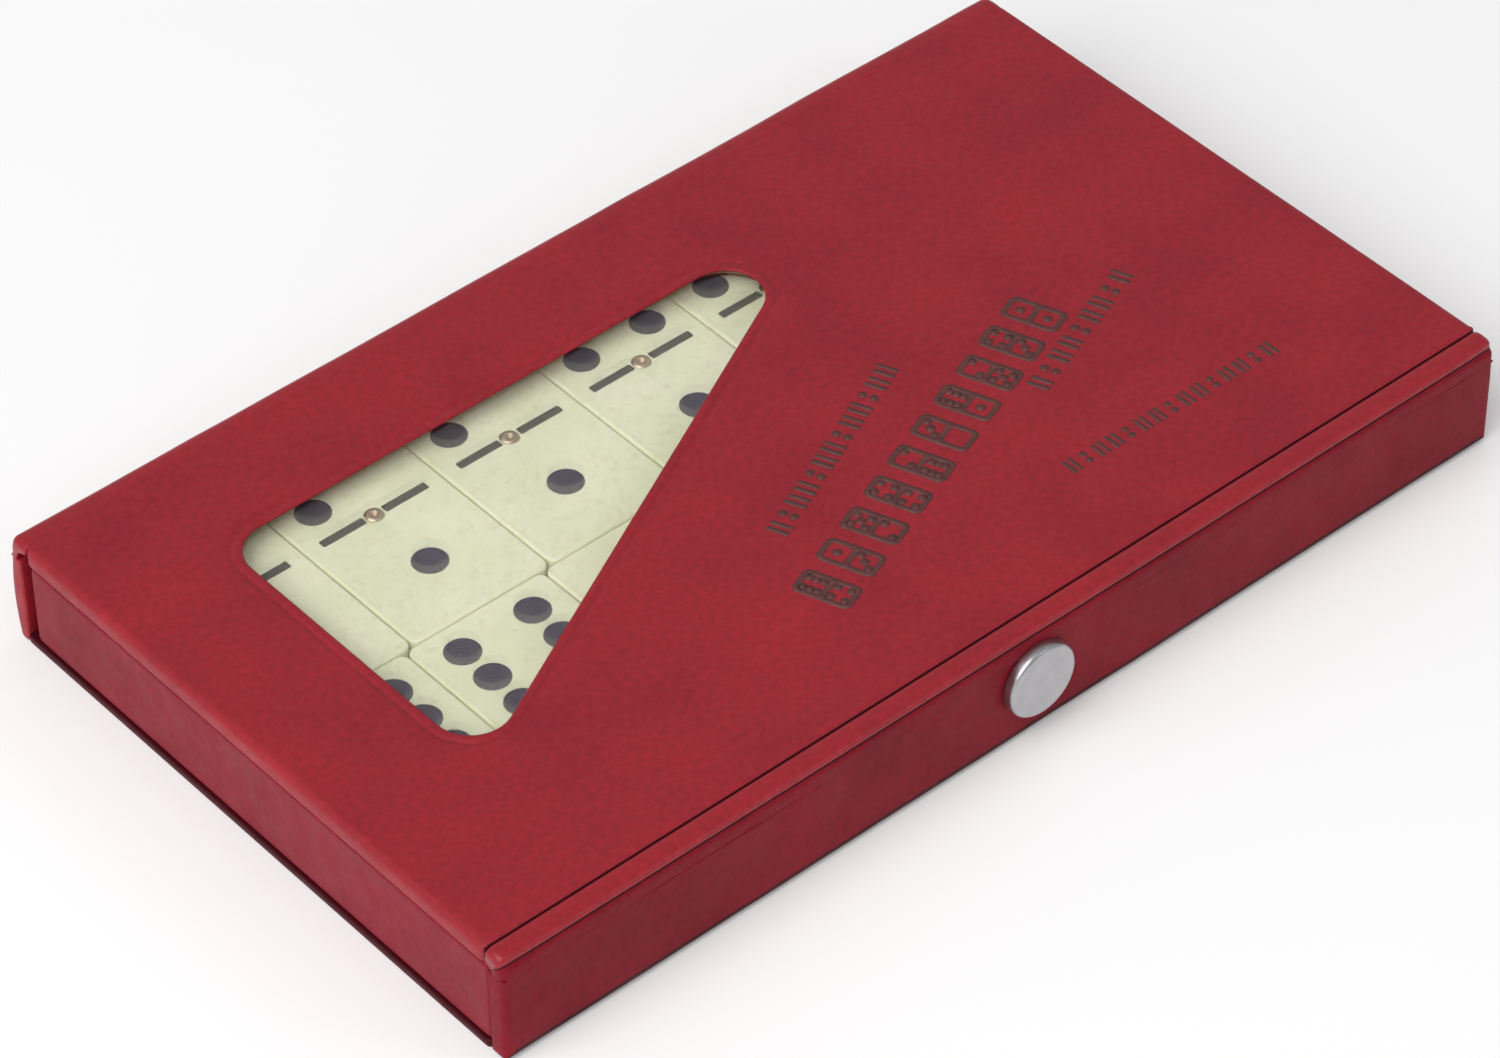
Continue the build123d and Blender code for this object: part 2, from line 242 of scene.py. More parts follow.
def ivory(name):
    """Polished cream plastic, faintly mottled, with light moving a little under its skin."""
    n = Nodes(name)
    clouds = n.ramp(n.noise(70, 3.0), (0.3, srgb(229, 233, 196)), (0.7, srgb(241, 241, 212)))
    dust = n.ramp(n.noise(1400, 2.0), (0.36, (0.9, 0.88, 0.8, 1)), (0.46, (1.0, 1.0, 1.0, 1)))
    colour = n.blend(1.0, clouds, dust, "MULTIPLY")
    normal = n.bump(n.noise(300, 3.0), 0.02 * MM)
    roughness = n.spread(n.noise(500, 4.0), 0.3, 0.7, 0.24, 0.36)
    return n.finish(
        colour, roughness, normal,
        Subsurface_Weight=0.12, Subsurface_Radius=(0.0012, 0.001, 0.0006), Subsurface_Scale=1.0,
    )


def paint(name, light, dark, rough=(0.3, 0.45), scale=700):
    """Ink or enamel: a dark colour, unevenly laid."""
    n = Nodes(name)
    colour = n.ramp(n.noise(scale, 4.0), (0.3, dark), (0.7, light))
    normal = n.bump(n.noise(2500, 2.0), 0.01 * MM)
    roughness = n.spread(n.noise(scale * 1.7, 3.0), 0.3, 0.7, *rough)
    return n.finish(colour, roughness, normal)


def metal(name, light, dark, rough=(0.22, 0.38), brushed=(400, 400, 9000)):
    """Plated or drawn metal, with fine scratches along one direction and a dull bloom."""
    n = Nodes(name)
    colour = n.ramp(n.noise(350, 4.0), (0.3, dark), (0.7, light))
    scratches = n.noise(1.0, 3.0, n.stretched(*brushed))
    normal = n.bump(scratches, 0.006 * MM)
    roughness = n.spread(n.noise(600, 4.0), 0.3, 0.7, *rough)
    return n.finish(colour, roughness, normal, Metallic=1.0)


def paperboard(name, light, dark):
    """Grey paperboard: flecks of fibre and a rough, matt cut edge."""
    n = Nodes(name)
    fibres = n.ramp(n.noise(1.0, 5.0, n.stretched(1500, 500, 3500)), (0.3, dark), (0.7, light))
    flecks = n.ramp(n.noise(2200, 2.0), (0.62, (1, 1, 1, 1)), (0.72, (0.6, 0.56, 0.5, 1)))
    colour = n.blend(1.0, fibres, flecks, "MULTIPLY")
    normal = n.bump(n.noise(1.0, 4.0, n.stretched(1200, 400, 3000)), 0.06 * MM)
    return n.finish(colour, n.spread(n.noise(900, 2.0), 0.3, 0.7, 0.75, 0.95), normal)


def clear_film(name):
    """Thin clear film: almost nothing but its gloss and a few faint ripples."""
    n = Nodes(name)
    colour = n.ramp(n.noise(60, 2.0), (0.3, (0.96, 0.97, 0.95, 1)), (0.7, (1, 1, 1, 1)))
    normal = n.bump(n.noise(45, 2.0), 0.15 * MM)
    roughness = n.spread(n.noise(200, 3.0), 0.3, 0.7, 0.04, 0.10)
    material = n.finish(colour, roughness, normal, Alpha=0.1, IOR=1.45, Transmission_Weight=1.0)
    material.surface_render_method = "BLENDED"
    return material


RED_VINYL = vinyl("red_vinyl", srgb(164, 33, 46), srgb(149, 29, 42))
# The tray walls' vinyl: a smoother grain, and a darker colour that is painted shade, since the walls face
# sideways, away from the lid's light
WALL_SHADED_VINYL = vinyl(
    "wall_shaded_vinyl", srgb(148, 29, 46), srgb(131, 23, 39), grain=0.012 * MM, rough=(0.4, 0.54), gloss=0.14,
)
# The front flap's vinyl: a finer grain, and a darker colour that is painted shade, since the front gets less
# light than the lid
FLAP_SHADED_VINYL = vinyl(
    "flap_shaded_vinyl", srgb(141, 23, 40), srgb(123, 17, 34), grain=0.012 * MM, rough=(0.44, 0.58), gloss=0.1,
)
# Painted shade: a near-black copy of the red vinyl, for the creases and for the bottom edges where shade
# falls
PAINTED_SHADE_VINYL = vinyl("painted_shade_vinyl", srgb(76, 9, 23), srgb(62, 7, 17), grain=0.01 * MM, gloss=0.12)
FOLD_VINYL = vinyl(
    "fold_vinyl", srgb(166, 33, 46), srgb(152, 29, 42), grain=0.01 * MM, rough=(0.3, 0.4), gloss=0.34,
)
LINING_VINYL = vinyl(
    "lining_vinyl", srgb(128, 26, 34), srgb(112, 20, 28), grain=0.03 * MM, rough=(0.5, 0.66),
)
IVORY = ivory("ivory_plastic")
PIP_INK = paint("pip_ink", srgb(76, 66, 82), srgb(55, 46, 60), rough=(0.3, 0.42))
BAR_INK = paint("bar_ink", srgb(48, 38, 42), srgb(32, 25, 28))
PRINT_INK = paint("print_ink", srgb(100, 50, 48), srgb(84, 44, 42), rough=(0.5, 0.7), scale=450)
SNAP_METAL = metal("snap_metal", (0.50, 0.50, 0.52, 1), (0.44, 0.44, 0.46, 1), rough=(0.3, 0.42))
STEEL_WIRE = metal("spring_wire", (0.62, 0.61, 0.6, 1), (0.45, 0.44, 0.43, 1), brushed=(3000, 200, 200))
PIN_BRASS = metal("pin_brass", (0.72, 0.58, 0.42, 1), (0.5, 0.38, 0.27, 1), rough=(0.28, 0.45))
GREYBOARD = paperboard("greyboard", srgb(178, 163, 132), srgb(146, 130, 102))
CLEAR_FILM = clear_film("clear_film")


# ---------------------------------------------------------------- mesh making
class Shape:
    """Points and faces of one piece. Points are (a, b, c): a and b across its face, c outwards."""

    def __init__(self):
        self.points = []
        self.faces = []
        self.slots = []

    def ring(self, points):
        first = len(self.points)
        self.points.extend(Vector(p) for p in points)
        return list(range(first, len(self.points)))

    def face(self, corners, slot=0):
        self.faces.append(tuple(corners))
        self.slots.append(slot)

    def bridge(self, lower, upper, slot=0, closed=True):
        count = len(lower)
        for i in range(count if closed else count - 1):
            j = (i + 1) % count
            self.face((lower[i], lower[j], upper[j], upper[i]), slot)

    def fan(self, ring, middle, slot=0):
        centre = self.ring([middle])[0]
        for i, corner in enumerate(ring):
            self.face((corner, ring[(i + 1) % len(ring)], centre), slot)

    def fill(self, outer, holes=(), spacing=None, slot=0):
        """Triangles between one ring and the rings inside it, all at the outer ring's height."""
        height = self.points[outer[0]].z
        around = [self.points[i].xy for i in outer]
        inner = [[self.points[i].xy for i in hole] for hole in holes]
        known = list(outer) + [i for hole in holes for i in hole]
        flat = [self.points[i].xy / MM for i in known]
        edges = []
        start = 0
        for ring in (outer, *holes):
            edges += [(start + i, start + (i + 1) % len(ring)) for i in range(len(ring))]
            start += len(ring)
        if spacing:
            margin = spacing * 0.6
            extra = [
                p for p in grid_points(around, spacing)
                if clear_of(p, around, margin) and all(clear_of(p, hole, margin) for hole in inner)
                and inside(p, around) and not any(inside(p, hole) for hole in inner)
            ]
            known += self.ring([(p.x, p.y, height) for p in extra])
            flat += [p / MM for p in extra]
        made, _, triangles, sources, _, _ = delaunay_2d_cdt(flat, edges, [], 0, 1e-5)
        indices = [
            known[source[0]] if source else self.ring([(p.x * MM, p.y * MM, height)])[0]
            for p, source in zip(made, sources)
        ]
        for triangle in triangles:
            middle = sum((made[i] for i in triangle), Vector((0, 0))) * (MM / 3)
            if inside(middle, around) and not any(inside(middle, hole) for hole in inner):
                self.face([indices[i] for i in triangle], slot)

    def build(self, name, materials, place=None, ease=None, outward=True):
        """The finished object. place turns (a, b, c) into row coordinates; ease moves points first."""
        points = [ease(p) for p in self.points] if ease else self.points
        placed = [place(*p) for p in points] if place else points
        mesh = bpy.data.meshes.new(name)
        mesh.from_pydata([tuple(p) for p in placed], [], self.faces)
        for material in materials:
            mesh.materials.append(material)
        mesh.polygons.foreach_set("material_index", self.slots)
        made = bmesh.new()
        made.from_mesh(mesh)
        bmesh.ops.remove_doubles(made, verts=made.verts, dist=1e-7)
        if outward:
            bmesh.ops.recalc_face_normals(made, faces=made.faces)
        made.to_mesh(mesh)
        made.free()
        mesh.shade_smooth()
        piece = bpy.data.objects.new(name, mesh)
        bpy.context.scene.collection.objects.link(piece)
        return piece


def inside(point, ring):
    """Whether a point is within a closed ring of points."""
    crossed = False
    for i, p in enumerate(ring):
        q = ring[i - 1]
        if (p.y > point.y) != (q.y > point.y):
            if point.x < (q.x - p.x) * (point.y - p.y) / (q.y - p.y) + p.x:
                crossed = not crossed
    return crossed


def clear_of(point, ring, margin):
    """Whether a point is further than a margin from every point of a ring."""
    return all((point - p).length > margin for p in ring)


def grid_points(ring, spacing):
    """A staggered grid of points over a ring's box."""
    low_x, high_x = min(p.x for p in ring), max(p.x for p in ring)
    low_y, high_y = min(p.y for p in ring), max(p.y for p in ring)
    columns = int((high_x - low_x) / spacing)
    rows = int((high_y - low_y) / spacing)
    for row in range(1, rows):
        for column in range(1, columns):
            shift = 0.25 if row % 2 else -0.25
            yield Vector((
                low_x + (column + shift) * (high_x - low_x) / columns,
                low_y + row * (high_y - low_y) / rows,
            ))


def outline(corners, radius, step, arc_steps=8):
    """A closed outline with rounded corners, anticlockwise, as (point, outward normal) pairs."""
    made = []
    count = len(corners)
    for i in range(count):
        before, here, after = (Vector(corners[(i + k) % count]) for k in (-1, 0, 1))
        into, out = (here - before).normalized(), (after - here).normalized()
        turn = into.angle_signed(out) * -1
        back = radius * math.tan(turn / 2)
        centre = here - into * back + Vector((-into.y, into.x)) * radius
        first = math.atan2(-into.x, into.y)
        for k in range(arc_steps + 1):
            angle = first + turn * k / arc_steps
            normal = Vector((math.cos(angle), math.sin(angle)))
            made.append((centre + normal * radius, normal))
        following = Vector(corners[(i + 2) % count])
        next_turn = out.angle_signed((following - after).normalized()) * -1
        run = (after - here).length - back - radius * math.tan(next_turn / 2)
        pieces = max(1, int(run / step))
        start, normal = made[-1]
        for k in range(1, pieces):
            made.append((start + out * run * k / pieces, normal))
    return made


def rectangle(low, high, radius, step, arc_steps=4):
    """A rounded rectangle as an outline, from two opposite corners."""
    corners = [(low[0], low[1]), (high[0], low[1]), (high[0], high[1]), (low[0], high[1])]
    return outline(corners, radius, step, arc_steps)


def circle(centre, radius, count):
    """Points round a circle."""
    turn = 2 * math.pi / count
    return [
        (centre[0] + radius * math.cos(turn * i), centre[1] + radius * math.sin(turn * i))
        for i in range(count)
    ]


def round_hole(x, y, radius, count=40):
    """A circle as an outline."""
    normals = [Vector(p) for p in circle((0, 0), 1.0, count)]
    return [(Vector((x, y)) + n * radius, n) for n in normals]


def offset_ring(line, distance, height):
    """An outline moved outwards by a distance, at a height."""
    return [((p + n * distance).x, (p + n * distance).y, height) for p, n in line]


def inset(line, amounts):
    """A rounded rectangle shrunk by its own amount on the left, right, low and high side."""
    left, right, low, high = amounts
    x0, x1 = min(p.x for p, _ in line), max(p.x for p, _ in line)
    y0, y1 = min(p.y for p, _ in line), max(p.y for p, _ in line)
    return [
        (
            x0 + left + (p.x - x0) * (x1 - x0 - left - right) / (x1 - x0),
            y0 + low + (p.y - y0) * (y1 - y0 - low - high) / (y1 - y0),
        )
        for p, _ in line
    ]


def slab(line, top, bottom, edge, back_edge, holes=(), turn_in=None, flat_border=0.5 * MM, steps=5):
    """A flat rectangular piece with rounded edges, from its outline and its two heights.

    edge and back_edge are radii on the (left, right, low, high) sides. Each hole is
    (outline, [(offset, height), ...]), the first pair lying in the face. turn_in leaves the back
    open, past a border of that width."""
    made = Shape()

    def ring_at(radii, angle, height, side):
        amounts = [r * (1 - math.sin(angle)) for r in radii]
        points = []
        for (x, y), (_, normal) in zip(inset(line, amounts), line):
            across = radii[0] if normal.x < 0 else radii[1]
            along = radii[2] if normal.y < 0 else radii[3]
            radius = across * normal.x ** 2 + along * normal.y ** 2
            points.append((x, y, height - side * radius * (1 - math.cos(angle))))
        return made.ring(points)

    def flat_ring(amounts, height):
        return made.ring([(x, y, height) for x, y in inset(line, amounts)])

    flat = flat_ring([r + flat_border for r in edge], top)
    quarter = [math.pi / 2 * k / steps for k in range(steps + 1)]
    rings = [ring_at(edge, angle, top, 1) for angle in quarter]
    rings += [ring_at(back_edge, angle, bottom, -1) for angle in reversed(quarter)]
    for upper, lower in zip([flat] + rings, rings):
        made.bridge(upper, lower)
    face_rings, back_rings = [], []
    for hole_line, profile in holes:
        walls = [made.ring(offset_ring(hole_line, distance, height)) for distance, height in profile]
        for outer, inner in zip(walls, walls[1:]):
            made.bridge(outer, inner)
        face_rings.append(walls[0])
        if not turn_in:
            back_rings.append(walls[-1])
    made.fill(flat, face_rings, GRID)
    if turn_in:
        made.bridge(rings[-1], flat_ring([turn_in] * 4, bottom))
    else:
        back = flat_ring([r + flat_border for r in back_edge], bottom)
        made.bridge(rings[-1], back)
        made.fill(back, back_rings, GRID)
    return made


def ripple(x, y, seed, height, size):
    """A smooth unevenness over a face."""
    return height * noise.noise(Vector((x / size, y / size, seed)))


def bell(distance, width):
    """1 at no distance, falling smoothly to nothing."""
    return math.exp(-(distance / width) ** 2)


def raised(point, rise):
    return Vector((point.x, point.y, point.z + rise))


def edge_distance(point, low, high):
    """How far within a rectangle's nearest side a point is."""
    return min(point.x - low[0], high[0] - point.x, point.y - low[1], high[1] - point.y)


def thicken(piece, thickness):
    """Give an open sheet its thickness, inwards."""
    solid = piece.modifiers.new("thickness", "SOLIDIFY")
    solid.thickness = thickness
    solid.offset = -1
    solid.use_even_offset = True


def paint_faces(piece, slot, chosen):
    """Give the faces that chosen picks, by their middles, another of the piece's materials."""
    for face in piece.data.polygons:
        if chosen(face.center):
            face.material_index = slot


def settle(piece, body, slot, *nodes):
    """Put a piece on its body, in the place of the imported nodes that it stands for."""
    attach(piece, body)
    if nodes:
        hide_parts(*nodes)


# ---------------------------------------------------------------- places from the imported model
lid_low, lid_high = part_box("lid_skin")
lining_low, lining_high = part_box("lid_lining")
flap_low, flap_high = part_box("flap_skin")
flap_lining_low, flap_lining_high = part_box("flap_lining")
spine_low, spine_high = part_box("spine_skin")
spine_lining_low, spine_lining_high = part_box("spine_lining")
bottom_low, bottom_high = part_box("bottom_skin")
bottom_board_low, bottom_board_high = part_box("bottom_board")
film_low, film_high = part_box("window_film")
cap_low, cap_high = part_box("snap_cap")
socket_low, socket_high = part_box("snap_socket")

x_left, x_right = lid_low.x, lid_high.x
y_face = flap_low.y
y_front_crease = lining_low.y
y_back_crease = lining_high.y
z_top = lid_high.z
z_fold = z_top - FOLD_R
y_spine = y_back_crease + FOLD_R
spine_bulge = spine_high.y - y_spine
snap_x = (cap_low.x + cap_high.x) / 2
snap_z = (cap_low.z + cap_high.z) / 2
cap_r = (cap_high.z - cap_low.z) / 2

window_left = film_low.x + FILM_MARGIN
window_back = film_high.y - FILM_MARGIN
window_right = window_left + WINDOW_DEPTH / math.tan(WINDOW_SLOPE)
window_corners = [
    (window_left, window_back - WINDOW_DEPTH),
    (window_right, window_back),
    (window_left, window_back),
]
window = outline(window_corners, WINDOW_R, 2.0 * MM, 10)


# ---------------------------------------------------------------- lid
def lid_height(x, y):
    """How far the lid's face stands off flat."""
    return ripple(x, y, 3.1, 0.10 * MM, 42 * MM) + ripple(x, y, 9.4, 0.03 * MM, 15 * MM)


def make_lid():
    line = rectangle((x_left, y_front_crease), (x_right, y_back_crease), CREASE_R, GRID)
    edge = (SIDE_R, SIDE_R, CREASE_R, SEAM_R)
    hole = (window, [(distance * MM, z_top + height * MM) for distance, height in WINDOW_EDGE])
    under = lining_low.z + 0.1 * MM
    cover = slab(line, z_top, under, edge, [0.5 * MM] * 4, [hole], turn_in=TURN_IN)

    def ease(p):
        if p.y < y_front_crease + CREASE_R and p.z > z_top - CREASE_R:
            return Vector((p.x, p.y, z_top - (z_top - p.z) * CREASE_DEPTH / CREASE_R))
        if p.z < z_fold + 2 * MM:
            return p
        share = min(1.0, (p.z - z_fold - 2 * MM) / (1.5 * MM))
        return raised(p, lid_height(p.x, p.y) * share)

    piece = cover.build("lid_cover", [RED_VINYL, PAINTED_SHADE_VINYL], ease=ease)
    # Painted shade: the faces in the front crease get the near-black vinyl
    paint_faces(piece, SHADE_SLOT, lambda middle: middle.y < y_front_crease + CREASE_DARK)
    thicken(piece, VINYL)
    settle(piece, "lid", "red_vinyl", "lid_skin")


def make_lining(name, low, high, top, bottom, place, body, node, hole):
    """An inner vinyl sheet with a welded line running round inside its edge."""
    line = rectangle(low, high, 1.5 * MM, GRID)
    profile = [(0.15 * MM, top), (0.05 * MM, top), (0.0, top - 0.1 * MM), (0.0, bottom)]
    sheet = slab(line, top, bottom, [0.2 * MM] * 4, [0.1 * MM] * 4, [(hole, profile)], flat_border=0.2 * MM)

    def ease(p):
        if p.z < top - 0.25 * MM:
            return p
        return raised(p, -0.15 * MM * bell(edge_distance(p, low, high) - 2.2 * MM, 0.5 * MM))

    piece = sheet.build(name, [LINING_VINYL], place=place, ease=ease)
    settle(piece, body, "lining_vinyl", node)


def make_linings():
    border = LINING_INSET
    opening = [(Vector((p.x, -p.y)), Vector((n.x, -n.y))) for p, n in reversed(window)]
    opening = [(p + n * BOARD_MARGIN, n) for p, n in opening]
    make_lining(
        "lid_inner",
        (x_left + border, -y_back_crease + border / 2),
        (x_right - border, -y_front_crease - border / 2),
        -lining_low.z + 0.05 * MM, -lining_high.z,
        lambda a, b, c: (a, -b, -c), "lid", "lid_lining", opening,
    )
    socket_r = (socket_high.z - socket_low.z) / 2 + 0.1 * MM
    make_lining(
        "flap_inner",
        (x_left + border, flap_lining_low.z + border / 2),
        (x_right - border, flap_lining_high.z),
        flap_lining_high.y + 0.03 * MM, flap_lining_low.y,
        lambda a, b, c: (a, c, b), "flap", "flap_lining", round_hole(snap_x, snap_z, socket_r),
    )


# ---------------------------------------------------------------- folds
def make_fold(name, centre_y, facing, inner_r, top_crease, face_crease):
    """A soft double strip of vinyl round a fold, facing the front (-1) or the back (+1).

    It turns a tight ridge.
    top_crease and face_crease are the depths of the pressed lines behind and below the ridge."""
    made = Shape()
    angles = [math.pi / 2 * k / RIDGE_STEPS for k in range(RIDGE_STEPS + 1)]

    def pressed(distance):
        share = max(0.0, 1 - distance / (CREASE_R * 1.1))
        return top_crease * (1 - math.sqrt(1 - share * share))

    def section(x):
        from_end = min(x - x_left, x_right - x)
        share = max(0.0, 1 - from_end / SIDE_R)
        shrink = SIDE_R * (1 - math.sqrt(1 - share * share))
        pinch = bell(from_end - 1.5 * MM, 3.0 * MM)
        sag = ripple(x, centre_y, 5.0, 0.10 * MM, 24 * MM) + ripple(x, centre_y, 2.0, 0.05 * MM, 8 * MM)
        points = []
        for angle in angles:
            both = math.cos(angle) ** RIDGE_POWER + math.sin(angle) ** RIDGE_POWER
            radius = FOLD_R * both ** (-1 / RIDGE_POWER) - shrink + sag * math.sin(2 * angle)
            radius -= pressed((math.pi / 2 - angle) * FOLD_R)
            line = bell(angle - FACE_CREASE_ANGLE, FACE_CREASE_WIDTH * (1 + pinch))
            radius -= face_crease * (1 + 0.6 * pinch) * line
            points.append((radius, angle))
        inner = inner_r + shrink * 0.1
        points += [(inner, angle) for angle in reversed(angles[::RIDGE_SKIP])]
        return [(x, centre_y + facing * r * math.cos(a), z_fold + r * math.sin(a)) for r, a in points]

    margin = FOLD_ENDS[-1] * MM
    middle_length = x_right - x_left - 2 * margin
    count = int(middle_length / GRID)
    stations = [x_left + step * MM for step in FOLD_ENDS]
    stations += [x_left + margin + middle_length * k / count for k in range(1, count)]
    stations += [x_right - step * MM for step in reversed(FOLD_ENDS)]
    rings = [made.ring(section(x)) for x in stations]
    for first, second in zip(rings, rings[1:]):
        made.bridge(first, second)
    outer = len(angles)
    for ring in (rings[0], rings[-1]):
        back = list(reversed(ring[outer:]))
        for k in range(outer - 1):
            near = round(k / RIDGE_SKIP)
            far = round((k + 1) / RIDGE_SKIP)
            corners = [ring[k], ring[k + 1], back[far]] + ([back[near]] if near != far else [])
            made.face(corners)
    piece = made.build(name, [FOLD_VINYL, PAINTED_SHADE_VINYL, FLAP_SHADED_VINYL])

    def around(middle):
        return math.atan2(middle.z - z_fold, facing * (middle.y - centre_y))

    # Painted shade, front fold only: the faces in the top crease and in the line below the ridge get the
    # near-black vinyl, and the faces below that line get the flap's shaded copy
    if facing < 0:
        half_line = FACE_CREASE_WIDTH / 2
        paint_faces(piece, FLAP_SHADE_SLOT, lambda middle: around(middle) < FACE_CREASE_ANGLE)
        paint_faces(piece, SHADE_SLOT, lambda middle: abs(around(middle) - FACE_CREASE_ANGLE) < half_line)
        paint_faces(piece, SHADE_SLOT, lambda middle: centre_y - middle.y < CREASE_DARK)
    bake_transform(piece)


def make_folds():
    make_fold(
        "front_fold", y_front_crease, -1, 1.4 * MM,
        CREASE_DEPTH, 0.3 * MM,
    )
    make_fold(
        "back_fold", y_back_crease, 1, 2.3 * MM,
        SEAM_R, 0.08 * MM,
    )


# ---------------------------------------------------------------- flap and its snap
def make_flap():
    low = (x_left, flap_low.z)
    high = (x_right, z_fold)
    line = rectangle(low, high, PANEL_CORNER_R, GRID)
    edge = (END_R, END_R, 0.8 * MM, SEAM_R)
    cover = slab(line, -y_face, -flap_lining_high.y, edge, [0.4 * MM] * 4)

    def ease(p):
        depth = (p.z + flap_lining_high.y) / (flap_lining_high.y - y_face)
        from_end = min(p.x - x_left, x_right - p.x)
        swell = ripple(p.x, p.y, 1.3, 0.12 * MM, 26 * MM) + ripple(p.x, p.y, 7.7, 0.05 * MM, 9 * MM)
        pinch = 0.1 * MM * bell(from_end, 3.0 * MM) * bell(high[1] - p.y, 1.4 * MM)
        from_cap = Vector((p.x - snap_x, p.y - snap_z)).length - cap_r
        dimple = 0.25 * MM * bell(from_cap, 1.0 * MM)
        return raised(p, max(0.0, depth) * (swell - pinch - dimple))

    materials = [FLAP_SHADED_VINYL, PAINTED_SHADE_VINYL]
    piece = cover.build("flap_cover", materials, place=lambda a, b, c: (a, -c, b), ease=ease)
    # Painted shade: the faces along the flap's bottom rim get the near-black vinyl
    paint_faces(piece, SHADE_SLOT, lambda middle: middle.z < low[1] + FLAP_RIM)
    settle(piece, "flap", "red_vinyl", "flap_skin")


def turned(name, profile, centre, axis, materials, count=64, slots=None):
    """A piece turned about an axis: profile is (radius, height along the axis), in order."""
    made = Shape()
    rings = []
    for radius, height in profile:
        if radius == 0:
            rings.append([made.ring([(0, 0, height)])[0]])
        else:
            rings.append(made.ring([(x, y, height) for x, y in circle((0, 0), radius, count)]))
    for k, (first, second) in enumerate(zip(rings, rings[1:])):
        slot = slots[k] if slots else 0
        if len(first) == 1 or len(second) == 1:
            lone, many = (first, second) if len(first) == 1 else (second, first)
            for i in range(count):
                made.face((many[i], many[(i + 1) % count], lone[0]), slot)
        else:
            made.bridge(first, second, slot)
    turn = Vector((0, 0, 1)).rotation_difference(Vector(axis)).to_matrix()
    return made.build(name, materials, place=lambda a, b, c: turn @ Vector((a, b, c)) + Vector(centre))


def arc(centre_r, centre_h, radius, start, end, steps):
    """Points of an arc in a turned profile, angles in degrees from the radius direction."""
    points = []
    for k in range(steps + 1):
        angle = math.radians(start + (end - start) * k / steps)
        points.append((centre_r + radius * math.cos(angle), centre_h + radius * math.sin(angle)))
    return points


def make_snap():
    """The snap's cap, slightly dished inside a rolled rim."""
    face = -cap_low.y
    base = -y_face - 0.25 * MM
    rim = 0.75 * MM
    profile = [
        (0, face - 0.18 * MM), (1.5 * MM, face - 0.175 * MM), (cap_r - 2.3 * MM, face - 0.15 * MM),
        (cap_r - 1.75 * MM, face - 0.13 * MM), (cap_r - 1.35 * MM, face - 0.04 * MM),
        *arc(cap_r - rim, face - rim, rim, 100, 0, 9),
        (cap_r, base + 0.5 * MM), (cap_r - 0.1 * MM, base + 0.2 * MM),
        (cap_r - 0.5 * MM, base), (0, base),
    ]
    cap = turned("snap_cap_disc", profile, (snap_x, 0, snap_z), (0, -1, 0), [SNAP_METAL], 96)
    settle(cap, "flap", "snap_metal", "snap_cap")


# ---------------------------------------------------------------- spine, bottom and tray walls
def make_spine():
    low = (x_left, 0.25 * MM)
    high = (x_right, z_fold)
    line = rectangle(low, high, PANEL_CORNER_R, GRID)
    edge = (END_R, END_R, 1.5 * MM, SEAM_R)
    inner = spine_lining_low.y
    cover = slab(line, y_spine, inner, edge, [0.4 * MM] * 4)
    middle = (low[1] + high[1]) / 2

    def ease(p):
        depth = (p.z - inner) / (y_spine - inner)
        rise = 1 - ((p.y - middle) / (high[1] - middle)) ** 2
        swell = ripple(p.x, p.y, 4.4, 0.10 * MM, 30 * MM)
        return raised(p, max(0.0, depth) * rise * (spine_bulge * 0.95 + swell))

    piece = cover.build("spine_cover", [RED_VINYL], place=lambda a, b, c: (a, c, b), ease=ease)
    settle(piece, "case_base", "red_vinyl", "spine_skin", "spine_lining")


def make_bottom():
    low = (x_left, -spine_lining_low.y - 0.3 * MM)
    high = (x_right, -bottom_low.y)
    line = rectangle(low, high, 0.8 * MM, GRID)
    cover = slab(line, 0.0, -bottom_board_high.z, [0.5 * MM] * 4, [0.3 * MM] * 4)

    def ease(p):
        if p.z <= -0.3 * MM:
            return p
        border = edge_distance(p, low, high)
        groove = 0.12 * MM * bell(border - 3.0 * MM, 0.6 * MM)
        sag = abs(ripple(p.x, p.y, 6.6, 0.12 * MM, 30 * MM)) * min(1.0, border / (12 * MM))
        return raised(p, -(groove + sag))

    materials = [RED_VINYL, PAINTED_SHADE_VINYL]
    piece = cover.build("bottom_cover", materials, place=lambda a, b, c: (a, -b, -c), ease=ease)
    # Painted shade: the bottom cover's faces above 0.25 mm, round its rim at the floor, get the near-black
    # vinyl
    paint_faces(piece, SHADE_SLOT, lambda middle: middle.z > 0.25 * MM)
    settle(piece, "case_base", "red_vinyl", "bottom_skin", "bottom_board")


def make_wall(name, node, place, low, high, outer, inner, seed, holes=()):
    """A board in a vinyl sleeve: a slab standing on the bottom, outer face first."""
    line = rectangle(low, high, 0.8 * MM, GRID)
    sleeve = slab(line, outer, inner, [0.7 * MM] * 4, [0.5 * MM] * 4, holes)

    def ease(p):
        depth = (p.z - inner) / (outer - inner)
        edge = min(1.0, min(high[1] - p.y, p.y - low[1]) / (2 * MM))
        swell = ripple(p.x, p.y, seed, 0.14 * MM, 24 * MM) - 0.05 * MM
        return raised(p, max(0.0, depth) * max(0.0, edge) * swell)

    piece = sleeve.build(name, [WALL_SHADED_VINYL], place=place, ease=ease)
    settle(piece, "case_base", "red_vinyl", node, node.replace("sleeve", "board"))


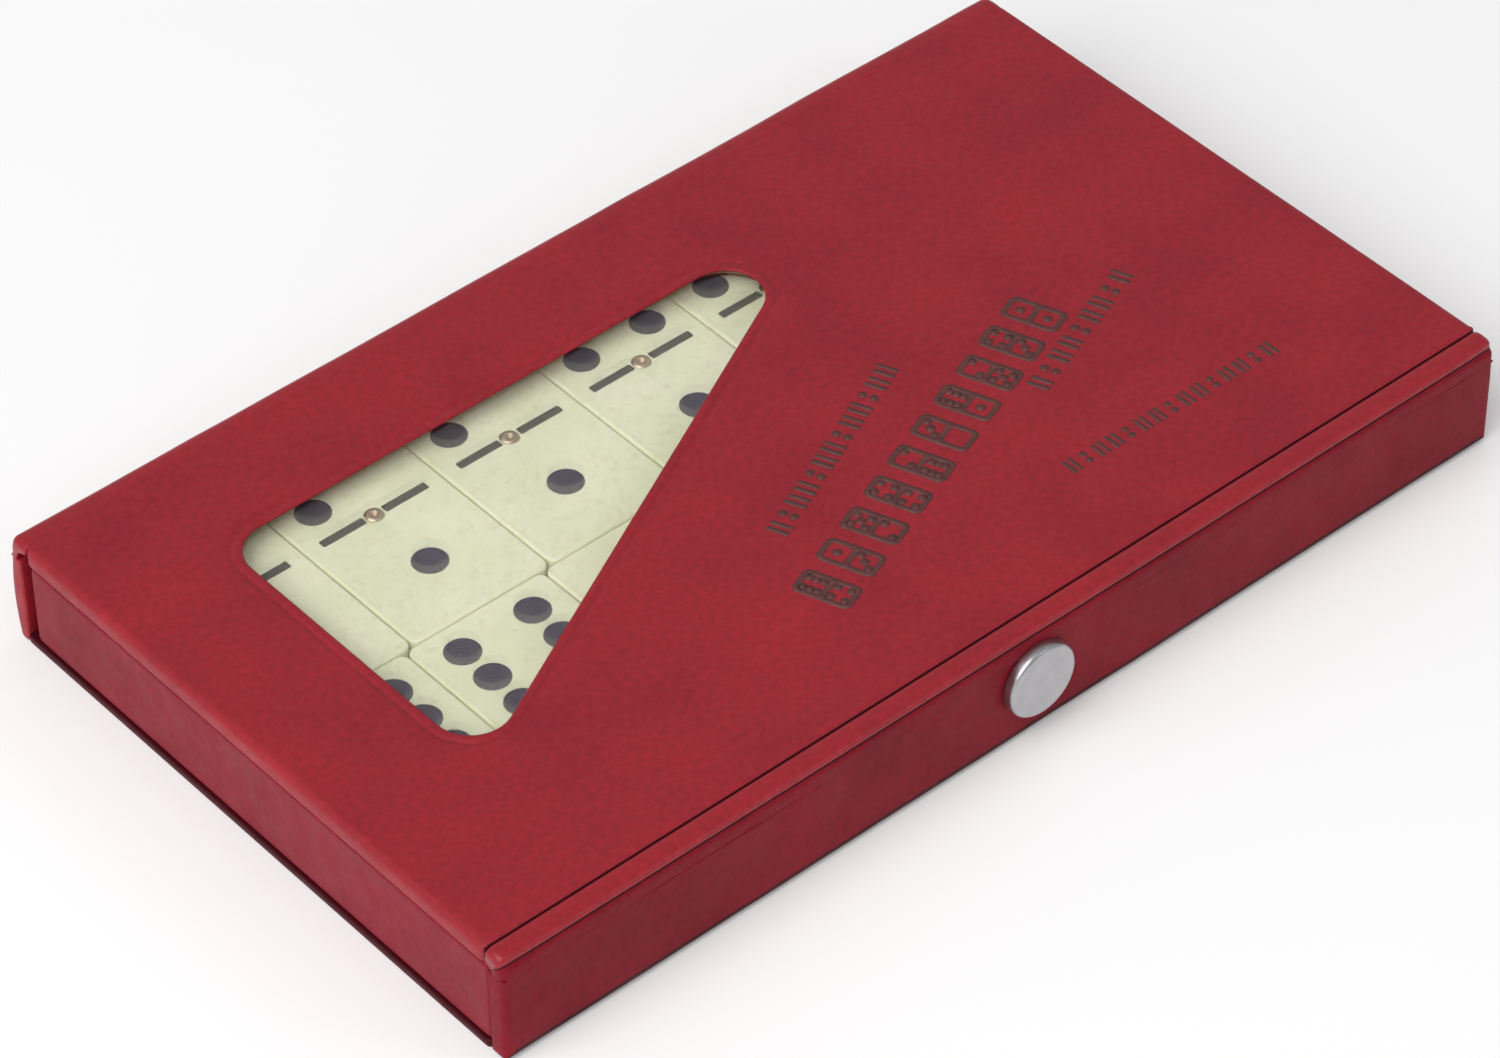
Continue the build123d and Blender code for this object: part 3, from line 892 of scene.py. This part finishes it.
def make_walls():
    wall_low, wall_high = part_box("left_wall_sleeve")
    low = (wall_low.y, wall_low.z)
    high = (wall_high.y - WALL_END_GAP, wall_high.z)
    outer, inner = -wall_low.x, -wall_high.x
    make_wall("left_wall", "left_wall_sleeve", lambda a, b, c: (-c, a, b), low, high, outer, inner, 2.2)
    make_wall("right_wall", "right_wall_sleeve", lambda a, b, c: (c, a, b), low, high, outer, inner, 8.8)
    front_low, front_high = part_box("front_wall_sleeve")
    outer, inner = -front_low.y, -front_high.y
    profile = [(0.4 * MM, outer), (0.1 * MM, outer), (0.0, outer - 0.1 * MM), (0.0, inner)]
    hole = (round_hole(snap_x, snap_z, MM, 24), profile)
    make_wall(
        "front_wall", "front_wall_sleeve", lambda a, b, c: (a, -c, b),
        (front_low.x, front_low.z), (front_high.x, front_high.z), outer, inner, 5.5, [hole],
    )


# ---------------------------------------------------------------- dominoes
CORNERS_UP = [(-1, -1), (1, 1)]
CORNERS_DOWN = [(-1, 1), (1, -1)]
SIDES = [(-1, 0), (1, 0)]
CENTRE = [(0, 0)]
PIPS = {
    0: [],
    1: CENTRE,
    2: CORNERS_UP,
    3: CORNERS_UP + CENTRE,
    4: CORNERS_UP + CORNERS_DOWN,
    5: CORNERS_UP + CORNERS_DOWN + CENTRE,
    6: CORNERS_UP + CORNERS_DOWN + SIDES,
}
# Tiles that lie with their smaller value towards the spine
LOW_VALUE_AT_BACK = {"tile_1_0"}


def dish(shape, x, y, top):
    """A round dished pip. Returns the ring that lies in the tile's face."""
    profile = [(PIP_R + 0.14 * MM, top), (PIP_R + 0.05 * MM, top - 0.012 * MM)]
    rings = [shape.ring([(*p, h) for p in circle((x, y), r, 36)]) for r, h in profile]
    shape.bridge(rings[0], rings[1])
    steps = 6
    for k in range(steps):
        share = 1 - k / steps
        height = top - 0.05 * MM - PIP_DEPTH * (1 - share ** 2.4)
        rings.append(shape.ring([(*p, height) for p in circle((x, y), PIP_R * share, 36)]))
        shape.bridge(rings[-2], rings[-1], 0 if k == 0 else PIP_SLOT)
    shape.fan(rings[-1], (x, y, top - 0.05 * MM - PIP_DEPTH), PIP_SLOT)
    return rings[0]


def bar(shape, x0, x1, y, top):
    """One half of the dividing bar, a shallow straight groove."""
    line = rectangle((x0, y - BAR_W / 2), (x1, y + BAR_W / 2), 0.25 * MM, 4 * MM, 3)
    profile = [
        (0.1, 0.0, 0), (0.03, -0.01, 0), (0.0, -0.06, 0), (-0.06, -0.25, BAR_SLOT), (-0.2, -0.3, BAR_SLOT),
    ]
    rings = [
        shape.ring(offset_ring(line, distance * MM, top + height * MM)) for distance, height, _ in profile
    ]
    for k in range(1, len(profile)):
        shape.bridge(rings[k - 1], rings[k], profile[k][2])
    shape.fill(rings[-1], slot=BAR_SLOT)
    return rings[0]


def bore(shape, x, y, top):
    """The pin's bore, with a softened mouth."""
    profile = [(BORE_R + 0.08 * MM, top), (BORE_R, top - 0.03 * MM), (BORE_R - 0.04 * MM, top - 0.12 * MM)]
    profile.append((BORE_R - 0.04 * MM, top - 0.5 * MM))
    rings = [shape.ring([(*p, h) for p in circle((x, y), r, 28)]) for r, h in profile]
    for first, second in zip(rings, rings[1:]):
        shape.bridge(first, second, 0)
    shape.fan(rings[-1], (x, y, top - 0.5 * MM))
    return rings[0]


def make_tile(name):
    """One domino, its marks laid out from its name. Returns the middle of its face."""
    low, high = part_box(name)
    x, y = (low.x + high.x) / 2, (low.y + high.y) / 2
    values = [int(part) for part in name.split("_")[1:]]
    back_value, front_value = values[::-1] if name in LOW_VALUE_AT_BACK else values
    line = rectangle((low.x, low.y), (high.x, high.y), TILE_CORNER_R, 12 * MM, 6)
    made = Shape()
    steps = 5
    flat_offset = -TILE_EDGE_R - 0.15 * MM
    flat = made.ring(offset_ring(line, flat_offset, high.z))
    rings = [flat]
    for end, side in ((high.z, -1), (low.z, 1)):
        angles = [math.pi / 2 * k / steps for k in range(steps + 1)]
        for angle in angles if side < 0 else reversed(angles):
            distance = -TILE_EDGE_R * (1 - math.sin(angle))
            height = end + side * TILE_EDGE_R * (1 - math.cos(angle))
            rings.append(made.ring(offset_ring(line, distance, height)))
    rings.append(made.ring(offset_ring(line, flat_offset, low.z)))
    for first, second in zip(rings, rings[1:]):
        made.bridge(first, second)
    made.fill(rings[-1])
    marks = [bore(made, x, y, high.z)]
    marks.append(bar(made, x - BAR_HALF, x - BORE_R - 0.15 * MM, y, high.z))
    marks.append(bar(made, x + BORE_R + 0.15 * MM, x + BAR_HALF, y, high.z))
    for side, value in ((1, back_value), (-1, front_value)):
        for column, row in PIPS[value]:
            marks.append(dish(made, x + column * PIP_X, y + side * HALF_CENTRE + row * PIP_Y, high.z))
    made.fill(flat, marks)
    piece = made.build(f"domino_{values[0]}_{values[1]}", [IVORY, PIP_INK, BAR_INK])
    settle(piece, "case_base", "ivory_plastic", name)
    return (x, y, high.z)


def make_pins(places):
    """Hollow rivet heads, one in the middle of each tile."""
    made = Shape()
    profile = [(0.0, -0.5), (0.42, -0.45), (0.46, 0.02), (0.6, 0.14), (0.85, 0.2), (1.1, 0.18), (1.32, 0.08)]
    profile += [(1.46, -0.06), (1.5, -0.25), (1.5, -0.48), (0.0, -0.5)]
    count = 24
    for x, y, z in places:
        rings = []
        for radius, height in profile:
            if radius == 0:
                rings.append(made.ring([(x, y, z + height * MM)]) * count)
            else:
                rings.append(made.ring([(*p, z + height * MM) for p in circle((x, y), radius * MM, count)]))
        for k in range(1, len(rings)):
            first, second = rings[k - 1], rings[k]
            for i in range(count):
                j = (i + 1) % count
                corners = [first[i], first[j], second[j], second[i]]
                made.face(list(dict.fromkeys(corners)))
    piece = made.build("spinner_pin_heads", [PIN_BRASS])
    settle(piece, "case_base", "pin_brass", "spinner_pins")


# ---------------------------------------------------------------- print on the lid
class Print:
    """Flat printed motifs, lying on the lid's uneven face."""

    def __init__(self):
        self.shape = Shape()

    def place(self, origin, angle, point):
        turned_point = Matrix.Rotation(angle, 2) @ Vector(point) + Vector(origin)
        return (turned_point.x, turned_point.y, 0.0)

    def patch(self, origin, angle, line, holes=()):
        """A filled outline, less its holes, all given in the motif's own axes."""
        outer = self.shape.ring([self.place(origin, angle, p) for p in line])
        inner = [self.shape.ring([self.place(origin, angle, p) for p in hole]) for hole in holes]
        self.shape.fill(outer, inner)

    def dot(self, origin, angle, centre, radius):
        self.patch(origin, angle, circle(centre, radius, 14))

    def bar(self, origin, angle, low, high):
        self.patch(origin, angle, [p for p, _ in rectangle(low, high, 0.2 * MM, 3 * MM, 2)])

    def domino(self, origin, angle, centre, height, values):
        """A small outlined domino standing on its end."""
        x, y = centre
        half_h, half_w = height / 2, height * 0.27
        stroke = height * 0.1
        low, high = (x - half_w, y - half_h), (x + half_w, y + half_h)
        frame_line = [p for p, _ in rectangle(low, high, height * 0.12, 3 * MM)]
        halves = []
        for low_y, high_y in ((y - half_h + stroke, y - stroke / 2), (y + stroke / 2, y + half_h - stroke)):
            low, high = (x - half_w + stroke, low_y), (x + half_w - stroke, high_y)
            halves.append([p for p, _ in rectangle(low, high, height * 0.05, 3 * MM, 2)])
        self.patch(origin, angle, frame_line, halves)
        for side, value in zip((1, -1), values):
            for column, row in PIPS[value]:
                pip = (x + column * half_w * 0.42, y + side * half_h * 0.47 + row * half_h * 0.24)
                self.dot(origin, angle, pip, stroke * 0.8)

    def finish(self):
        for point in self.shape.points:
            point.z = z_top + lid_height(point.x, point.y) + PRINT_LIFT
        piece = self.shape.build("lid_print", [PRINT_INK], outward=False)
        thicken(piece, PRINT_LIFT * 0.8)
        settle(piece, "lid", "red_vinyl")


def run(start, end):
    """Origin, angle and length of a line of print."""
    along = Vector(end) - Vector(start)
    return Vector(start), math.atan2(along.y, along.x), along.length


def make_print():
    """Rows of small dominoes, dots and dashes: a plain ornament along four lines."""
    made = Print()
    origin, angle, length = run((-18.1 * MM, -31.2 * MM), (51.2 * MM, -4.5 * MM))
    values = [(6, 4), (1, 3), (5, 2), (4, 4), (2, 6), (3, 0), (6, 1), (2, 5), (4, 3), (1, 1)]
    for k, pair in enumerate(values):
        made.domino(origin, angle, (length * (k + 0.5) / len(values), 0), 9.5 * MM, pair)
    small_runs = [
        ((-12.8 * MM, -16.5 * MM), (24.1 * MM, -0.1 * MM), 3.6 * MM, 13),
        ((36.3 * MM, -18.3 * MM), (64.9 * MM, -7.5 * MM), 3.6 * MM, 9),
        ((27.7 * MM, -33.9 * MM), (69.7 * MM, -34.5 * MM), 3.0 * MM, 15),
    ]
    for start, end, height, count in small_runs:
        origin, angle, length = run(start, end)
        for k in range(count):
            x = length * (k + 0.5) / count
            if k % 3 == 1:
                made.dot(origin, angle, (x, height * 0.25), height * 0.2)
                made.dot(origin, angle, (x, -height * 0.25), height * 0.2)
            else:
                made.bar(origin, angle, (x - height * 0.3, -height / 2), (x - height * 0.05, height / 2))
                made.bar(origin, angle, (x + height * 0.1, -height / 2), (x + height * 0.32, height / 2))
    made.finish()


# ---------------------------------------------------------------- stage, light and camera
def make_stage():
    made = Shape()
    size = 3.0
    ring = made.ring([(-size, -size, 0), (size, -size, 0), (size, size, 0), (-size, size, 0)])
    made.face(ring)
    n = Nodes("floor_paint")
    glow = {"Emission_Color": (1.0, 1.0, 1.0, 1.0), "Emission_Strength": FLOOR_GLOW}
    colour = n.ramp(n.noise(3.0, 2.0), (0.3, (0.93, 0.93, 0.93, 1)), (0.7, (0.95, 0.95, 0.95, 1)))
    roughness = n.spread(n.noise(5.0), 0.3, 0.7, 0.9, 0.95)
    floor = made.build("floor", [n.finish(colour, roughness, **glow)], outward=False)


def area_light(name, place, size, power):
    """A round soft light, aimed at the origin."""
    light = bpy.data.lights.new(name, "AREA")
    light.shape = "DISK"
    light.size = size
    light.energy = power
    lamp = bpy.data.objects.new(name, light)
    lamp.location = place
    lamp.rotation_mode = "QUATERNION"
    lamp.rotation_quaternion = (-Vector(place)).to_track_quat("-Z", "Y")
    bpy.context.scene.collection.objects.link(lamp)


def make_light():
    world = bpy.data.worlds.new("studio")
    world.use_nodes = True
    background = world.node_tree.nodes["Background"]
    background.inputs["Color"].default_value = (1.0, 1.0, 1.0, 1.0)
    background.inputs["Strength"].default_value = WORLD_STRENGTH
    bpy.context.scene.world = world
    for name, (place, size, power) in LIGHTS.items():
        area_light(name, place, size, power)
    bpy.context.scene.view_settings.view_transform = "Standard"


def make_camera():
    camera = bpy.data.cameras.new("camera")
    camera.sensor_width = 36.0
    camera.lens = CAMERA_LENS
    camera.clip_start = 0.01
    camera.clip_end = 20.0
    eye = bpy.data.objects.new("camera", camera)
    forward = Vector(CAMERA_FORWARD).normalized()
    right = forward.cross(Vector(CAMERA_UP)).normalized()
    up = right.cross(forward)
    turn = Matrix((right, up, -forward)).transposed().to_4x4()
    eye.matrix_world = Matrix.Translation(CAMERA_PLACE) @ turn
    bpy.context.scene.collection.objects.link(eye)
    bpy.context.scene.camera = eye


# ---------------------------------------------------------------- all together
finishes = {
    "greyboard": GREYBOARD,
    "clear_film": CLEAR_FILM,
    "snap_metal": SNAP_METAL,
    "spring_wire": STEEL_WIRE,
    "pin_brass": PIN_BRASS,
    "ivory_plastic": IVORY,
    "red_vinyl": RED_VINYL,
    "lining_vinyl": LINING_VINYL,
}
for entry in frame["record"]["subparts"]:
    mesh = frame["nodes"][entry["node"]].data
    mesh.materials.clear()
    mesh.materials.append(finishes[entry["material_slot"]])

tile_names = sorted(name for name in frame["nodes"] if name.startswith("tile_"))

make_lid()
make_linings()
make_folds()
make_flap()
make_snap()
make_spine()
make_bottom()
make_walls()
make_pins([make_tile(name) for name in tile_names])
make_print()
make_stage()
make_light()
make_camera()
